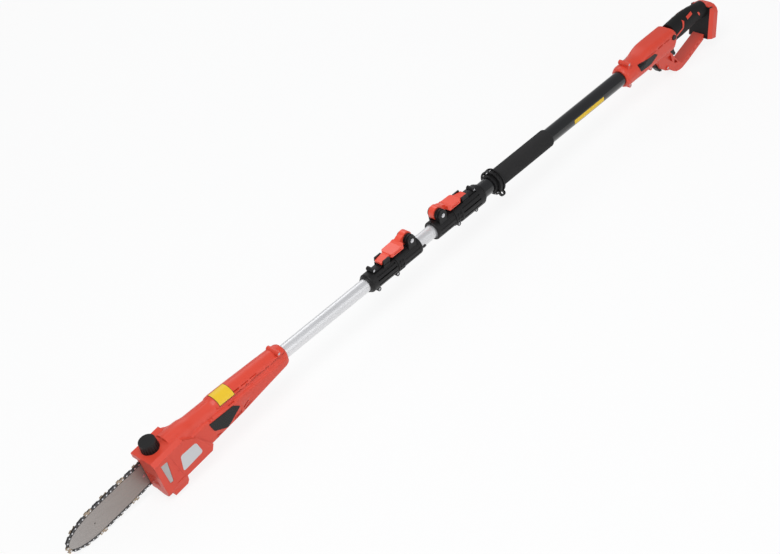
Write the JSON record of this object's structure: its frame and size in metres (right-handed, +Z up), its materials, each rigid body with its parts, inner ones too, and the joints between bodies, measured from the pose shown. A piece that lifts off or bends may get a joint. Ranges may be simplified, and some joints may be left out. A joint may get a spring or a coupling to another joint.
{
  "type": "telescoping pole saw",
  "caption": "Cordless telescoping pole saw with a chain saw head, lever-clamped pole tubes, foam grip and a rear trigger handle with a battery foot.",
  "frame": {"origin": "on the pole axis at the middle of the bare stretch of handle tube", "axes": "+X along the pole from the saw head to the handle, +Z up, -Y is the oil tank side"},
  "size_m": [1.8155, 0.069, 0.1231],
  "materials": {
    "red_shell": "semi-gloss red moulded plastic",
    "lever_red": "bright red moulded plastic",
    "black_plastic": "black nylon",
    "grey_plastic": "grey acetal",
    "rubber_black": "soft black overmould",
    "foam_dark": "closed-cell foam",
    "black_tube": "glossy black coated tube",
    "silver_tube": "satin anodised tube",
    "tank_clear": "milky tank wall",
    "brass_contact": "contact blades",
    "bar_steel": "ground bar steel",
    "chain_dark": "blued chain plates",
    "cutter_steel": "cutter steel",
    "bright_steel": "bright steel",
    "machine_steel": "machined steel"
  },
  "bodies": {
    "handle": {"handle_shell_left": "red_shell", "handle_shell_right": "red_shell", "hand_guard": "red_shell", "rear_grip": "rubber_black", "battery_foot": "black_plastic", "foot_shell": "red_shell", "terminal_block": "grey_plastic", "battery_terminals": "brass_contact", "switch_body": "grey_plastic", "trigger_pin": "bright_steel", "handle_screws": "bright_steel", "rest_foot": "black_plastic", "handle_tube": "black_tube", "foam_grip": "foam_dark", "strap_ring": "black_plastic", "strap_ring_screw": "bright_steel", "clamp_2_left": "black_plastic", "clamp_2_right": "black_plastic", "clamp_2_bolt": "bright_steel", "clamp_2_bush": "grey_plastic", "clamp_2_screws": "bright_steel"},
    "mid_pole": {"middle_tube": "silver_tube", "slide_bush": "grey_plastic", "stop_button": "black_plastic"},
    "head_unit": {"clamp_1_left": "black_plastic", "clamp_1_right": "black_plastic", "clamp_1_bolt": "bright_steel", "clamp_1_bush": "grey_plastic", "clamp_1_screws": "bright_steel", "head_tube": "silver_tube", "motor_shell_left": "red_shell", "motor_shell_right": "red_shell", "housing_screws": "bright_steel", "motor_can": "machine_steel", "spindle_bearings": "bright_steel", "sprocket_cover": "red_shell", "cover_nut": "bright_steel", "bar_stud": "bright_steel", "tension_screw": "bright_steel", "guide_bar": "bar_steel", "bar_rivet": "bright_steel", "chain_drive_links": "chain_dark", "chain_tie_straps": "chain_dark", "chain_cutters": "cutter_steel", "chain_rivets": "bright_steel", "oil_tank": "tank_clear", "oil_pump": "grey_plastic"},
    "lever_1": {"clamp_1_lever": "lever_red"},
    "lever_2": {"clamp_2_lever": "lever_red"},
    "trigger": {"trigger": "black_plastic"},
    "lockoff": {"lockoff_button": "black_plastic"},
    "oil_cap": {"oil_cap": "black_plastic"},
    "spindle": {"spindle": "bright_steel", "bevel_gear": "machine_steel", "drive_sprocket": "machine_steel"},
    "rotor": {"motor_shaft": "bright_steel", "pinion": "bright_steel"}
  },
  "joints": [
    {"name": "pole_extend", "type": "slide", "parent": "handle", "child": "mid_pole", "axis": [-1, 0, 0], "range_m": [0, 0.45]},
    {"name": "head_coupling", "type": "slide", "parent": "mid_pole", "child": "head_unit", "axis": [-1, 0, 0], "range_m": [0, 0.055]},
    {"name": "front_lever", "type": "hinge", "parent": "head_unit", "child": "lever_1", "pos_m": [-0.5355, 0, 0.0292], "axis": [0, 1, 0], "range_deg": [0, 110]},
    {"name": "rear_lever", "type": "hinge", "parent": "handle", "child": "lever_2", "pos_m": [-0.4475, 0, 0.0292], "axis": [0, -1, 0], "range_deg": [0, 110]},
    {"name": "trigger_pull", "type": "hinge", "parent": "handle", "child": "trigger", "pos_m": [0.28, 0, -0.009], "axis": [0, 1, 0], "range_deg": [0, 8], "stiffness_Nm_per_rad": 0.6, "springref_deg": -8.59},
    {"name": "lockoff_press", "type": "slide", "parent": "handle", "child": "lockoff", "axis": [0, 1, 0], "range_m": [-0.0015, 0.0015], "stiffness_N_per_m": 600},
    {"name": "oil_cap_turn", "type": "hinge", "parent": "head_unit", "child": "oil_cap", "pos_m": [-1.17693, 0.0055, 0.01712], "axis": [-0.1219, 0, 0.9925], "continuous": true},
    {"name": "spindle_spin", "type": "hinge", "parent": "head_unit", "child": "spindle", "pos_m": [-1.11766, 0, -0.02245], "axis": [0, 1, 0], "continuous": true},
    {"name": "rotor_spin", "type": "hinge", "parent": "head_unit", "child": "rotor", "pos_m": [-1.11766, 0, -0.02245], "axis": [0.9925, 0, 0.1219], "continuous": true}
  ],
  "couplings": [
    {"joint": "rotor_spin", "follows": "spindle_spin", "ratio": -3}
  ]
}
